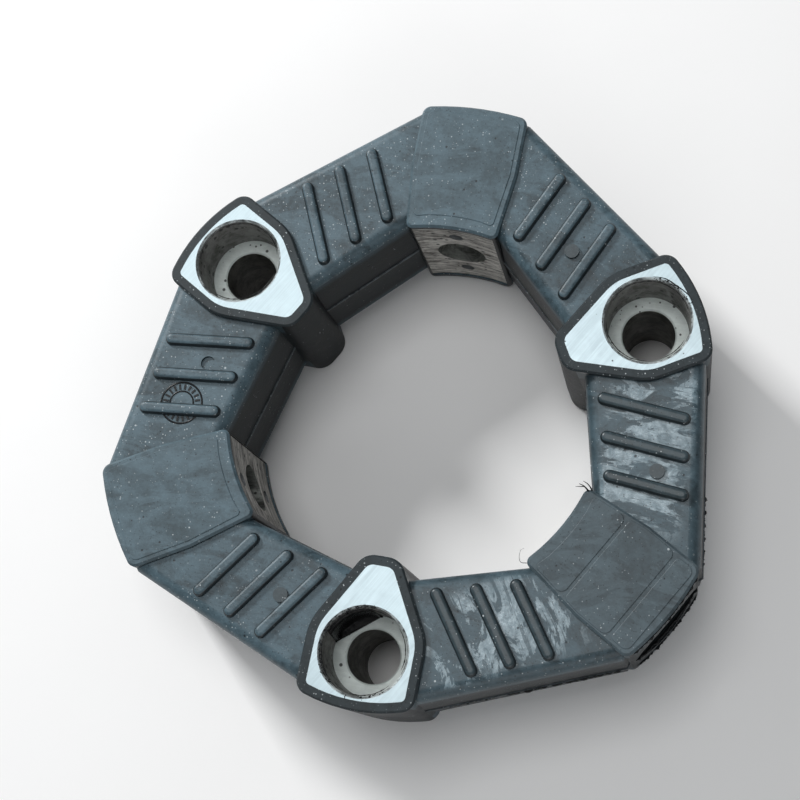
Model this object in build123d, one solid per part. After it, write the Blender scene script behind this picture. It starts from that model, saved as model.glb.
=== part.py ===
from build123d import *
import os
from math import cos, radians, sin, tan

# Flexible shaft coupling ring: six rubber columns in a hexagon, bonded to three
# axial aluminium inserts (bolted to the flange) and three radial aluminium
# inserts (bolted to the hub).  Millimetres.  The origin lies on the coupling
# axis in the lower faces of the axial inserts, +Z is the axis, upwards.

# ---- driving dimensions ----
THICKNESS = 32.0            # over the faces of the axial inserts
BOLT_CIRCLE_R = 50.0        # the three axial screws
BOLT_HOLE_R = 5.5           # clearance for M10
HUB_R = 38.6                # arc of the radial blocks' inner edges
BLOCK_R = 66.0              # outer arc of the radial blocks
AXIAL_AZIMUTHS = (30, 150, 270)
RADIAL_AZIMUTHS = (90, 210, 330)
COLUMN_AZIMUTHS = (0, 60, 120, 180, 240, 300)
HALF_STEP = 30.0            # from a column to the insert at either end of it

# axial insert, in its own frame: X outwards from the bolt circle, Y tangential
NOSE_REACH = 17.1           # flat tip that points at the axis
NOSE_HALF = 2.45
AXIAL_HALF = 10.0           # half width at the outer end
FLANK_SLOPE = 29.0          # degrees from X, both flanks
CORNER_REACH = 7.9          # outer corners
BACK_REACH = 9.5            # middle of the curved outer edge
NOSE_FILLET = 2.0
FLANK_FILLET = 9.0
BACK_FILLET = 1.0
RIM = 2.0                   # rubber skin round an axial insert
RIM_EDGE = 0.4              # bevel on its outer edges

# screw seat in the axial insert
SEAT_R_TOP = 8.75
SEAT_R_FLOOR = 8.35
SEAT_DEPTH = 10.7
SEAT_CHAMFER = 0.4
HOLE_CHAMFER = 0.3

# radial block of rubber, in its own frame: X outwards from the axis
BLOCK_DROP = 0.4            # its top below the faces of the axial inserts
BLOCK_INNER_HALF = 9.6
BLOCK_HALF = 11.3
BLOCK_SHOULDER = 14.0       # from the outer arc in to where the sides taper
BLOCK_CORNER = 1.1          # from the outer arc in to the outer corners
BLOCK_INNER_FILLET = 1.4
BLOCK_OUTER_FILLET = 2.0
BLOCK_EDGE = 0.5            # bevel on its top and bottom edges

# radial insert, in its own frame
FACE_DROP = 0.4             # machined concave face behind the rubber's inner edge
FACE_WALL = 0.9             # rubber beside the face
BODY_WALL = 2.0             # rubber beside the body
BODY_COVER = 1.4            # rubber over and under the body
BACK_COVER = 3.0            # rubber outside its flat outer face
RADIAL_HOLE_R = 5.25
RADIAL_SEAT_R = 8.2
RADIAL_SEAT_DEPTH = 10.0
PEG_R = 1.5                 # small holes above and below the screw hole
PEG_DEPTH = 4.0
PEG_OFFSET = 9.3
WINDOW_MARGIN = 0.7         # opening in the rubber, wider than the screw seat

# rubber column, in its own frame: X at its middle azimuth, Y to the axial insert
COLUMN_DROP = 1.4           # its top below the faces of the axial inserts
COLUMN_DRAFT = 2.0          # degrees, both ways from the seam
COLUMN_FILLET = 2.6
SEAM_PROUD = 0.25           # mould seam round the walls at mid height
SEAM_HEIGHT = 0.5
# ends of its walls, (x, y) in the frame of the insert that they run into
AXIAL_END_OUTER = (8.9, 9.2)        # x from the bolt circle
AXIAL_END_INNER = (-15.0, 3.8)
RADIAL_END_OUTER = (-1.75, 11.7)    # x from the outer arc of the block
RADIAL_END_INNER = (0.1, 9.85)      # x from the inner arc of the block
RADIAL_ROOT = 3.5                   # hidden part inside the block

# ribs on the columns
RIB_PITCH = 7.65
RIB_MIDDLE_Y = -0.5
RIB_SLOPE = 5.5             # degrees, outer ends nearer the radial block
RIB_INNER_INSET = 2.1
RIB_OUTER_INSET = 2.5
RIB_WIDTH = 2.6
RIB_HEIGHT = 1.2
RIB_FILLET = 0.95
ROOT = 1.0                  # how deep raised marks are rooted in the column

# mould vent marks on the upper side: the column's azimuth, x and y in its frame
VENT_DISCS = ((60, 45.3, -3.3), (0, 50.2, -5.0), (240, 45.8, 4.5))
VENT_PIT = (180, 45.0, -2.5)
VENT_R = 1.5
VENT_HEIGHT = 0.6

# ---- worked out from the above ----
MID_Z = THICKNESS / 2
NOSE_X = BOLT_CIRCLE_R - NOSE_REACH
CORNER_X = BOLT_CIRCLE_R + CORNER_REACH
BACK_X = BOLT_CIRCLE_R + BACK_REACH
COLUMN_TOP = THICKNESS - COLUMN_DROP
BLOCK_TOP = THICKNESS - BLOCK_DROP
BODY_TOP = BLOCK_TOP - BODY_COVER
BODY_HEIGHT = 2 * BODY_TOP - THICKNESS
BODY_HALF = BLOCK_HALF - BODY_WALL
BODY_X = BLOCK_R - BACK_COVER
SHOULDER_X = BLOCK_R - BLOCK_SHOULDER
FACE_R = HUB_R + FACE_DROP
FACE_HALF = BLOCK_INNER_HALF - FACE_WALL
WINDOW_R = RADIAL_SEAT_R + WINDOW_MARGIN
LOW = (Align.CENTER, Align.CENTER, Align.MIN)


def turned(shape, azimuth):
    """The shape, moved from its own frame to its azimuth round the axis."""
    return shape.rotate(Axis.Z, azimuth)


def seen_from(x, y, azimuth):
    """A point of a frame at the azimuth, in the frame at azimuth 0."""
    angle = radians(azimuth)
    return (x * cos(angle) - y * sin(angle), x * sin(angle) + y * cos(angle))


def x_on(line, y):
    """X at height y of a straight line given by two points."""
    (x0, y0), (x1, y1) = line
    return x0 + (y - y0) * (x1 - x0) / (y1 - y0)


def rounded(face, corners):
    """The face with each corner (x, y, radius) rounded, mirrored about X too."""
    for x, y, radius in corners:
        for side in (1, -1):
            nearest = face.vertices().sort_by_distance((x, side * y, 0))[0]
            face = fillet(nearest, radius)
    return face


def joined(start, end, middle_x):
    """Line from start to end, or the arc that crosses X at middle_x."""
    if middle_x is None:
        return Line(start, end)
    return ThreePointArc(start, (middle_x, 0), end)


def mirrored_outline(half, outer_x=None, inner_x=None):
    """Face from one side's corners; an end given an X there is an arc."""
    other = [(x, -y) for x, y in reversed(half)]
    outer = joined(half[-1], other[0], outer_x)
    inner = joined(other[-1], half[0], inner_x)
    return make_face(Polyline(*half) + outer + Polyline(*other) + inner)


def eased(solid, width):
    """The solid with a bevel round its lowest and its highest face."""
    flats = solid.faces().sort_by(Axis.Z)
    return chamfer(flats[0].edges() + flats[-1].edges(), width)


def lying(radius, start_x, end_x, height=MID_Z):
    """A cylinder along X in an insert's own frame."""
    rod = Cylinder(radius, end_x - start_x, rotation=(0, 90, 0))
    return Pos((start_x + end_x) / 2, 0, height) * rod


# ---- axial inserts ----

def axial_outline():
    """Outline of an axial insert: a wedge with a blunt nose and a curved back."""
    flank_x = NOSE_X + (AXIAL_HALF - NOSE_HALF) / tan(radians(FLANK_SLOPE))
    half = [(NOSE_X, NOSE_HALF), (flank_x, AXIAL_HALF), (CORNER_X, AXIAL_HALF)]
    corners = (
        (NOSE_X, NOSE_HALF, NOSE_FILLET),
        (flank_x, AXIAL_HALF, FLANK_FILLET),
        (CORNER_X, AXIAL_HALF, BACK_FILLET),
    )
    return rounded(mirrored_outline(half, outer_x=BACK_X), corners)


def axial_body():
    return extrude(axial_outline(), THICKNESS)


def screw_seat():
    """Counterbore and hole cut from an axial insert, chamfered from above."""
    floor_z = THICKNESS - SEAT_DEPTH
    seat = Cone(SEAT_R_FLOOR, SEAT_R_TOP, SEAT_DEPTH, align=LOW)
    mouth = Cone(SEAT_R_TOP, SEAT_R_TOP + SEAT_CHAMFER, SEAT_CHAMFER, align=LOW)
    bevel = Cone(BOLT_HOLE_R, BOLT_HOLE_R + HOLE_CHAMFER, HOLE_CHAMFER, align=LOW)
    cut = Pos(0, 0, floor_z) * seat
    cut += Pos(0, 0, THICKNESS - SEAT_CHAMFER) * mouth
    cut += Cylinder(BOLT_HOLE_R, floor_z, align=LOW)
    cut += Pos(0, 0, floor_z - HOLE_CHAMFER) * bevel
    return Pos(BOLT_CIRCLE_R, 0, 0) * cut


# ---- radial inserts ----

def radial_body():
    """Block with a concave face for the hub, inside the rubber of its block."""
    face_x = (FACE_R ** 2 - FACE_HALF ** 2) ** 0.5
    half = [(face_x, FACE_HALF), (SHOULDER_X, BODY_HALF), (BODY_X, BODY_HALF)]
    outline = mirrored_outline(half, inner_x=FACE_R)
    return Pos(0, 0, THICKNESS - BODY_TOP) * extrude(outline, BODY_HEIGHT)


def radial_drilling():
    """Screw hole, its seat from outside, and the two small holes in the face."""
    face_x = FACE_R - BODY_WALL
    cut = lying(RADIAL_HOLE_R, face_x, BODY_X)
    cut += lying(RADIAL_SEAT_R, BODY_X - RADIAL_SEAT_DEPTH, BLOCK_R)
    for side in (1, -1):
        cut += lying(PEG_R, face_x, FACE_R + PEG_DEPTH, MID_Z + side * PEG_OFFSET)
    return cut


# ---- rubber ----

def pillar():
    """Rubber skin of constant width round an axial insert, full height."""
    return eased(extrude(offset(axial_outline(), RIM), THICKNESS), RIM_EDGE)


def block():
    """Rubber block round a radial insert, with an arc at each end."""
    inner_x = (HUB_R ** 2 - BLOCK_INNER_HALF ** 2) ** 0.5
    corner_x = BLOCK_R - BLOCK_CORNER
    half = [(inner_x, BLOCK_INNER_HALF), (SHOULDER_X, BLOCK_HALF), (corner_x, BLOCK_HALF)]
    corners = (
        (inner_x, BLOCK_INNER_HALF, BLOCK_INNER_FILLET),
        (corner_x, BLOCK_HALF, BLOCK_OUTER_FILLET),
    )
    outline = rounded(mirrored_outline(half, outer_x=BLOCK_R, inner_x=HUB_R), corners)
    solid = eased(extrude(outline, 2 * BLOCK_TOP - THICKNESS), BLOCK_EDGE)
    return Pos(0, 0, THICKNESS - BLOCK_TOP) * solid


def wall_lines():
    """A column's outer and inner wall in plan, from axial to radial end."""
    outer_start = (BOLT_CIRCLE_R + AXIAL_END_OUTER[0], -AXIAL_END_OUTER[1])
    inner_start = (BOLT_CIRCLE_R + AXIAL_END_INNER[0], -AXIAL_END_INNER[1])
    outer_end = (BLOCK_R + RADIAL_END_OUTER[0], RADIAL_END_OUTER[1])
    inner_end = (HUB_R + RADIAL_END_INNER[0], RADIAL_END_INNER[1])
    outer = (seen_from(*outer_start, HALF_STEP), seen_from(*outer_end, -HALF_STEP))
    inner = (seen_from(*inner_start, HALF_STEP), seen_from(*inner_end, -HALF_STEP))
    return outer, inner


def column_outline(side):
    """Plan of a column at its seam; side 1 has the axial insert at +Y."""
    outer, inner = wall_lines()
    hidden_y = RADIAL_END_INNER[1] - RADIAL_ROOT
    roots = [
        seen_from(HUB_R + RADIAL_ROOT, hidden_y, -HALF_STEP),
        seen_from(BLOCK_R - RADIAL_ROOT, hidden_y, -HALF_STEP),
    ]
    points = [outer[0], inner[0], inner[1], *roots, outer[1]]
    plan = make_face(Polyline(*[(x, side * y) for x, y in points], close=True))
    grow = (COLUMN_TOP - MID_Z) * tan(radians(COLUMN_DRAFT))
    return offset(plan, grow, kind=Kind.INTERSECTION)


def column(side):
    """A rubber column, drafted both ways from the seam along its walls."""
    outline = column_outline(side)
    rise = COLUMN_TOP - MID_Z
    upper = extrude(outline, rise, taper=COLUMN_DRAFT)
    crown = upper.faces().sort_by(Axis.Z)[-1]
    walls = crown.edges().sort_by(SortBy.LENGTH)[-2:]
    upper = fillet(walls, COLUMN_FILLET)
    seam_outline = offset(outline, SEAM_PROUD, kind=Kind.INTERSECTION)
    seam = Pos(0, 0, -SEAM_HEIGHT / 2) * extrude(seam_outline, SEAM_HEIGHT)
    return Pos(0, 0, MID_Z) * (upper + mirror(upper, about=Plane.XY) + seam)


def rib(y, side):
    """One rounded bar across a column's top, rooted a little in it."""
    outer, inner = wall_lines()
    start_x = x_on(inner, y) + RIB_INNER_INSET
    end_x = x_on(outer, y) - RIB_OUTER_INSET
    length = (end_x - start_x) / cos(radians(RIB_SLOPE))
    bar = extrude(SlotOverall(length, RIB_WIDTH), ROOT + RIB_HEIGHT)
    crown = bar.faces().sort_by(Axis.Z)[-1]
    bar = fillet(crown.edges(), RIB_FILLET)
    middle = Pos((start_x + end_x) / 2, side * y, COLUMN_TOP - ROOT)
    return middle * Rot(0, 0, -side * RIB_SLOPE) * bar


def ribs(side):
    """The three ribs of a column, on its upper side and its under side."""
    rows = [RIB_MIDDLE_Y + step * RIB_PITCH for step in (1, 0, -1)]
    upper = [rib(y, side) for y in rows]
    lower = [mirror(bar, about=Plane.XY.offset(MID_Z)) for bar in upper]
    return upper + lower


def vent_mark(x, y, bottom_z, top_z):
    """Round mark left by a mould vent, between two heights."""
    return Pos(x, y, bottom_z) * Cylinder(VENT_R, top_z - bottom_z, align=LOW)


def radial_pocket():
    """Room in the rubber for a radial insert, its face and its screw's head."""
    gap = 2 * BODY_WALL
    front = Pos(FACE_R - gap / 2, 0, MID_Z) * Box(gap, 2 * FACE_HALF, BODY_HEIGHT)
    window = lying(WINDOW_R, BODY_X - gap, BLOCK_R + gap)
    return radial_body() + front + window


def rubber_body():
    """The one moulded rubber ring, with pockets where the inserts are bonded."""
    solid = Part()
    for azimuth in AXIAL_AZIMUTHS:
        solid += turned(pillar(), azimuth)
    for azimuth in RADIAL_AZIMUTHS:
        solid += turned(block(), azimuth)
    for index, azimuth in enumerate(COLUMN_AZIMUTHS):
        side = 1 if index % 2 == 0 else -1
        solid += turned(column(side), azimuth)
        solid += [turned(bar, azimuth) for bar in ribs(side)]
    for azimuth, x, y in VENT_DISCS:
        disc = vent_mark(x, y, COLUMN_TOP - ROOT, COLUMN_TOP + VENT_HEIGHT)
        solid += turned(disc, azimuth)
    azimuth, x, y = VENT_PIT
    solid -= turned(vent_mark(x, y, COLUMN_TOP - VENT_HEIGHT, THICKNESS), azimuth)
    for azimuth in AXIAL_AZIMUTHS:
        solid -= turned(axial_body(), azimuth)
    for azimuth in RADIAL_AZIMUTHS:
        solid -= turned(radial_pocket(), azimuth)
    return solid


os.makedirs("parts", exist_ok=True)
export_step(rubber_body(), "parts/rubber_body.step")
for number, azimuth in enumerate(AXIAL_AZIMUTHS, 1):
    insert = axial_body() - screw_seat()
    export_step(turned(insert, azimuth), f"parts/axial_insert_{number}.step")
for number, azimuth in enumerate(RADIAL_AZIMUTHS, 1):
    insert = radial_body() - radial_drilling()
    export_step(turned(insert, azimuth), f"parts/radial_insert_{number}.step")
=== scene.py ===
import logging
import math
import random
from dataclasses import dataclass, field
from enum import Enum
from typing import Callable

import bmesh
import bpy
from mathutils import Matrix, Vector, noise


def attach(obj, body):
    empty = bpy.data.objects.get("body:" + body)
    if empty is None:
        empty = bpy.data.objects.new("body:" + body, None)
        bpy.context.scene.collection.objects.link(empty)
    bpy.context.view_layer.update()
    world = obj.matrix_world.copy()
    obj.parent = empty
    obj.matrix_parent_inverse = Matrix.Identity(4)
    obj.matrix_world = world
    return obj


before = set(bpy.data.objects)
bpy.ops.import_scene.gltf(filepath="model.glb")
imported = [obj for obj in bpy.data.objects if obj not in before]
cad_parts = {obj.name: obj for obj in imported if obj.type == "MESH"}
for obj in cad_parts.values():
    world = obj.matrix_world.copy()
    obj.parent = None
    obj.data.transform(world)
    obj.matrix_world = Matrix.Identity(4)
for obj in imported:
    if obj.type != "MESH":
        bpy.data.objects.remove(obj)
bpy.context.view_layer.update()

MM = 0.001
log = logging.getLogger("coupling")

Colour = tuple[float, float, float]

# Colours that several finishes share, linear
PIT: Colour = (0.006, 0.008, 0.01)
DUST: Colour = (0.62, 0.68, 0.70)
# The two film colours: dried film, their paleness partly painted sheen.
THIN_FILM_AND_SHEEN: Colour = (0.17, 0.25, 0.29)
THICK_FILM_AND_SHEEN: Colour = (0.48, 0.60, 0.66)
METAL_SPECK: Colour = (0.02, 0.02, 0.022)

MOTTLE_BAND = 0.24      # half width of the mottle's step at no contrast
MERGE = 1e-7            # vertices nearer than this are one, in metres
NOISE_SEED = 1          # noise_vector takes its offsets from this, so every run is the same


# ---- places on the ring -------------------------------------------------------------

@dataclass(frozen=True)
class Ring:
    """Sizes of the coupling ring that several pieces share, in millimetres."""

    thickness: float = 32.0
    bolt_circle: float = 50.0
    column_top: float = 30.6
    block_top: float = 31.6
    hub_radius: float = 38.6
    block_radius: float = 66.0
    rib_band: float = 0.05
    axial_azimuths: tuple[int, ...] = (30, 150, 270)
    radial_azimuths: tuple[int, ...] = (90, 210, 330)

    @property
    def middle(self) -> float:
        """Height of the mould seam."""
        return self.thickness / 2


RING = Ring()


@dataclass(frozen=True)
class Place:
    """A frame turned about the coupling axis: X outwards, Y tangential, Z up.

    Args:
        azimuth: Direction of the frame's X, in degrees from the ring's X.
    """

    azimuth: float

    def matrix(self) -> Matrix:
        """Rotation from this frame to the ring's."""
        return Matrix.Rotation(math.radians(self.azimuth), 4, "Z")

    def point(self, x: float, y: float, z: float) -> Vector:
        """A point given here in millimetres, in the ring's frame in metres."""
        return self.matrix() @ Vector((x, y, z)) * MM

    def local(self, point: Vector) -> Vector:
        """A point of the ring's frame in metres, given here in millimetres."""
        return self.matrix().inverted() @ point / MM


def turn_between(first: float, second: float) -> float:
    """Smallest angle between two azimuths, in degrees."""
    return abs((first - second + 180) % 360 - 180)


# ---- shader helpers -----------------------------------------------------------------

class Graph:
    """Short way to place and join shader nodes in one tree."""

    def __init__(self, tree: bpy.types.NodeTree) -> None:
        """Args:
            tree: The node tree that receives the nodes.
        """
        self.tree = tree
        self.count = 0

    def node(self, kind: str, inputs: dict | None = None, **settings) -> bpy.types.Node:
        """Adds one node.

        Args:
            kind: Blender's node type.
            inputs: Values or output sockets for its inputs, by name or index.
            settings: Attributes set before the inputs are joined.

        Returns:
            The new node.
        """
        made = self.tree.nodes.new(kind)
        made.location = (220 * (self.count % 12), -260 * (self.count // 12))
        self.count += 1
        for name, value in settings.items():
            setattr(made, name, value)
        for key, value in (inputs or {}).items():
            if isinstance(value, bpy.types.NodeSocket):
                self.tree.links.new(value, made.inputs[key])
            else:
                made.inputs[key].default_value = value
        return made

    def math(self, operation: str, *values, clamp: bool = False) -> bpy.types.NodeSocket:
        """A Math node's result from numbers or sockets."""
        inputs = dict(enumerate(values))
        made = self.node("ShaderNodeMath", inputs, operation=operation, use_clamp=clamp)
        return made.outputs[0]

    def plus(self, first, second) -> bpy.types.NodeSocket:
        """Sum of two numbers or sockets."""
        return self.math("ADD", first, second)

    def minus(self, first, second) -> bpy.types.NodeSocket:
        """Difference of two numbers or sockets."""
        return self.math("SUBTRACT", first, second)

    def times(self, first, second) -> bpy.types.NodeSocket:
        """Product of two numbers or sockets."""
        return self.math("MULTIPLY", first, second)

    def noise(self, vector, scale, detail: float, roughness: float = 0.5,
              distortion: float = 0.0) -> bpy.types.NodeSocket:
        """Value of a noise texture."""
        inputs = {"Vector": vector, "Scale": scale, "Detail": detail, "Roughness": roughness,
                  "Distortion": distortion}
        return self.node("ShaderNodeTexNoise", inputs).outputs[0]

    def parts(self, vector) -> bpy.types.NodeOutputs:
        """A vector's X, Y and Z."""
        return self.node("ShaderNodeSeparateXYZ", {0: vector}).outputs

    def moved(self, vector, by: tuple[float, float, float],
              operation: str = "ADD") -> bpy.types.NodeSocket:
        """A vector with another added to it, or multiplied by it."""
        made = self.node("ShaderNodeVectorMath", {0: vector, 1: by}, operation=operation)
        return made.outputs[0]

    def ramp(self, value, low: float, high: float, start=0.0, end=1.0) -> bpy.types.NodeSocket:
        """Smooth step of a value from low..high to start..end."""
        inputs = {0: value, 1: low, 2: high, 3: start, 4: end}
        made = self.node("ShaderNodeMapRange", inputs, interpolation_type="SMOOTHSTEP")
        return made.outputs[0]

    def blend(self, factor, first, second, mode: str = "MIX") -> bpy.types.NodeSocket:
        """Two colours mixed by a factor."""
        made = self.node("ShaderNodeMix", data_type="RGBA", blend_type=mode)
        for index, value in ((0, factor), (6, first), (7, second)):
            if isinstance(value, bpy.types.NodeSocket):
                self.tree.links.new(value, made.inputs[index])
            elif index == 0:
                made.inputs[index].default_value = value
            else:
                made.inputs[index].default_value = (*value, 1.0)
        return made.outputs[2]

    def shifted(self, vector, seed: float) -> bpy.types.NodeSocket:
        """The vector moved by a seed, so that two finishes differ."""
        return self.moved(vector, (seed, seed * 0.7, -seed * 0.4))


class Effect(Enum):
    """Shader node groups that several finishes use."""

    MOTTLE = "Mottle"
    SPECKS = "Specks"
    GRAIN = "Moulded grain"
    SCRATCH = "Scratches"
    BRUSH = "Tool marks"
    FILM = "Dried film"


@dataclass
class EffectLibrary:
    """Builds each shared node group once and hands it out."""

    groups: dict[Effect, bpy.types.NodeTree] = field(default_factory=dict)

    def get(self, effect: Effect) -> bpy.types.NodeTree:
        """The node group of an effect, made when first asked for."""
        if effect not in self.groups:
            builders: dict[Effect, Callable[[], bpy.types.NodeTree]] = {
                Effect.MOTTLE: self.mottle,
                Effect.SPECKS: self.specks,
                Effect.GRAIN: self.grain,
                Effect.SCRATCH: self.scratch,
                Effect.BRUSH: self.brush,
                Effect.FILM: self.film,
            }
            self.groups[effect] = builders[effect]()
        return self.groups[effect]

    def start(self, effect: Effect, numbers: dict[str, float], result: str) -> tuple:
        """Opens a group with a Vector input, number inputs and one output.

        Args:
            effect: Names the group.
            numbers: Default value of each number input.
            result: Name of the output socket.

        Returns:
            The tree, its graph, its input node and its output node.
        """
        tree = bpy.data.node_groups.new(effect.value, "ShaderNodeTree")
        sockets = tree.interface
        sockets.new_socket(name="Vector", in_out="INPUT", socket_type="NodeSocketVector")
        for name, value in numbers.items():
            made = sockets.new_socket(name=name, in_out="INPUT", socket_type="NodeSocketFloat")
            made.default_value = value
        sockets.new_socket(name=result, in_out="OUTPUT", socket_type="NodeSocketFloat")
        graph = Graph(tree)
        source = graph.node("NodeGroupInput")
        target = graph.node("NodeGroupOutput")
        return tree, graph, source.outputs, target

    def mottle(self) -> bpy.types.NodeTree:
        """Cloudy blotches, from 0 to 1, with a contrast."""
        tree, graph, given, target = self.start(
            Effect.MOTTLE, {"Scale": 200.0, "Contrast": 0.5}, "Mask")
        cloud = graph.noise(given["Vector"], given["Scale"], 6.0, 0.62, 0.6)
        half = graph.times(given["Contrast"], 0.22)
        low = graph.plus(graph.minus(0.5, MOTTLE_BAND), half)
        high = graph.minus(graph.plus(0.5, MOTTLE_BAND), half)
        tree.links.new(graph.ramp(cloud, low, high), target.inputs[0])
        return tree

    def specks(self) -> bpy.types.NodeTree:
        """Small round specks; Share is how many of the cells hold one."""
        tree, graph, given, target = self.start(
            Effect.SPECKS, {"Scale": 900.0, "Size": 0.25, "Share": 0.3}, "Mask")
        inputs = {"Vector": given["Vector"], "Scale": given["Scale"]}
        cells = graph.node("ShaderNodeTexVoronoi", inputs)
        parts = graph.node("ShaderNodeSeparateColor", {0: cells.outputs["Color"]})
        size = graph.times(given["Size"], parts.outputs[0])
        inner = graph.times(size, 0.6)
        dot = graph.ramp(cells.outputs["Distance"], inner, size, 1.0, 0.0)
        held = graph.math("LESS_THAN", parts.outputs[1], given["Share"])
        tree.links.new(graph.times(dot, held), target.inputs[0])
        return tree

    def grain(self) -> bpy.types.NodeTree:
        """Fine uneven height of a moulded skin."""
        tree, graph, given, target = self.start(Effect.GRAIN, {"Scale": 1500.0}, "Height")
        fine = graph.noise(given["Vector"], given["Scale"], 5.0, 0.7)
        broad = graph.noise(given["Vector"], graph.times(given["Scale"], 0.16), 3.0)
        tree.links.new(graph.plus(fine, graph.times(broad, 1.6)), target.inputs[0])
        return tree

    def scratch(self) -> bpy.types.NodeTree:
        """Thin bright scuffs along the vector's X."""
        tree, graph, given, target = self.start(
            Effect.SCRATCH, {"Scale": 300.0, "Share": 0.3}, "Mask")
        stretch = graph.moved(given["Vector"], (0.09, 1.0, 1.0), "MULTIPLY")
        lines = graph.noise(stretch, given["Scale"], 4.0, 0.75, 0.5)
        low = graph.minus(0.76, graph.times(given["Share"], 0.22))
        tree.links.new(graph.ramp(lines, low, graph.plus(low, 0.05)), target.inputs[0])
        return tree

    def brush(self) -> bpy.types.NodeTree:
        """Parallel tool marks along the vector's X, from 0 to 1."""
        tree, graph, given, target = self.start(
            Effect.BRUSH, {"Scale": 2500.0, "Length": 0.03}, "Height")
        parts = graph.parts(given["Vector"])
        along = graph.times(parts[0], given["Length"])
        joined = graph.node("ShaderNodeCombineXYZ", {0: along, 1: parts[1], 2: parts[2]})
        marks = graph.noise(joined.outputs[0], given["Scale"], 5.0, 0.7)
        tree.links.new(graph.ramp(marks, 0.25, 0.75), target.inputs[0])
        return tree

    def film(self) -> bpy.types.NodeTree:
        """Torn patches of a dried film with crisp edges, wiped along X."""
        tree, graph, given, target = self.start(
            Effect.FILM, {"Scale": 160.0, "Cover": 0.5}, "Mask")
        stretch = graph.moved(given["Vector"], (0.42, 1.0, 1.0), "MULTIPLY")
        cloud = graph.noise(stretch, given["Scale"], 7.0, 0.68, 1.4)
        low = graph.minus(0.66, graph.times(given["Cover"], 0.3))
        sheet = graph.ramp(cloud, low, graph.plus(low, 0.03))
        bands = graph.math("PINGPONG", graph.minus(cloud, low), 0.035)
        edges = graph.ramp(bands, 0.0, 0.014, 1.0, 0.0)
        layered = graph.plus(graph.times(edges, 0.45), 0.55)
        tree.links.new(graph.times(sheet, layered), target.inputs[0])
        return tree


EFFECTS = EffectLibrary()


class Surface:
    """A material under construction: its graph, its coordinates and its shader."""

    def __init__(self, name: str) -> None:
        """Args:
            name: The material's name.
        """
        self.material = bpy.data.materials.new(name)
        self.material.use_nodes = True
        tree = self.material.node_tree
        tree.nodes.clear()
        self.graph = Graph(tree)
        self.shader = self.graph.node("ShaderNodeBsdfPrincipled")
        output = self.graph.node("ShaderNodeOutputMaterial")
        tree.links.new(self.shader.outputs[0], output.inputs[0])
        self.vector = self.graph.node("ShaderNodeTexCoord").outputs["Object"]

    def effect(self, effect: Effect, vector, **numbers: float) -> bpy.types.NodeSocket:
        """Places a shared group and returns its output."""
        made = self.graph.node("ShaderNodeGroup", node_tree=EFFECTS.get(effect))
        self.graph.tree.links.new(vector, made.inputs["Vector"])
        for name, value in numbers.items():
            made.inputs[name].default_value = value
        return made.outputs[0]

    def turned(self, azimuth: float, centre: tuple[float, float] = (0.0, 0.0)):
        """Coordinates in a frame turned about the axis, from a centre in millimetres."""
        turn = self.graph.node(
            "ShaderNodeVectorRotate", {0: self.vector, "Angle": -math.radians(azimuth)},
            rotation_type="Z_AXIS").outputs[0]
        shift = (-centre[0] * MM, -centre[1] * MM, 0.0)
        return self.graph.moved(turn, shift)

    def plug(self, name: str, value) -> None:
        """Joins an output to an input of the shader, or sets a plain value."""
        if isinstance(value, bpy.types.NodeSocket):
            self.graph.tree.links.new(value, self.shader.inputs[name])
        else:
            self.shader.inputs[name].default_value = value

    def relief(self, height, strength: float, depth: float) -> None:
        """Feeds the normal from a height; depth in millimetres."""
        inputs = {"Height": height, "Strength": strength, "Distance": depth * MM}
        bump = self.graph.node("ShaderNodeBump", inputs).outputs[0]
        self.plug("Normal", bump)


# ---- finishes -----------------------------------------------------------------------

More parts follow.
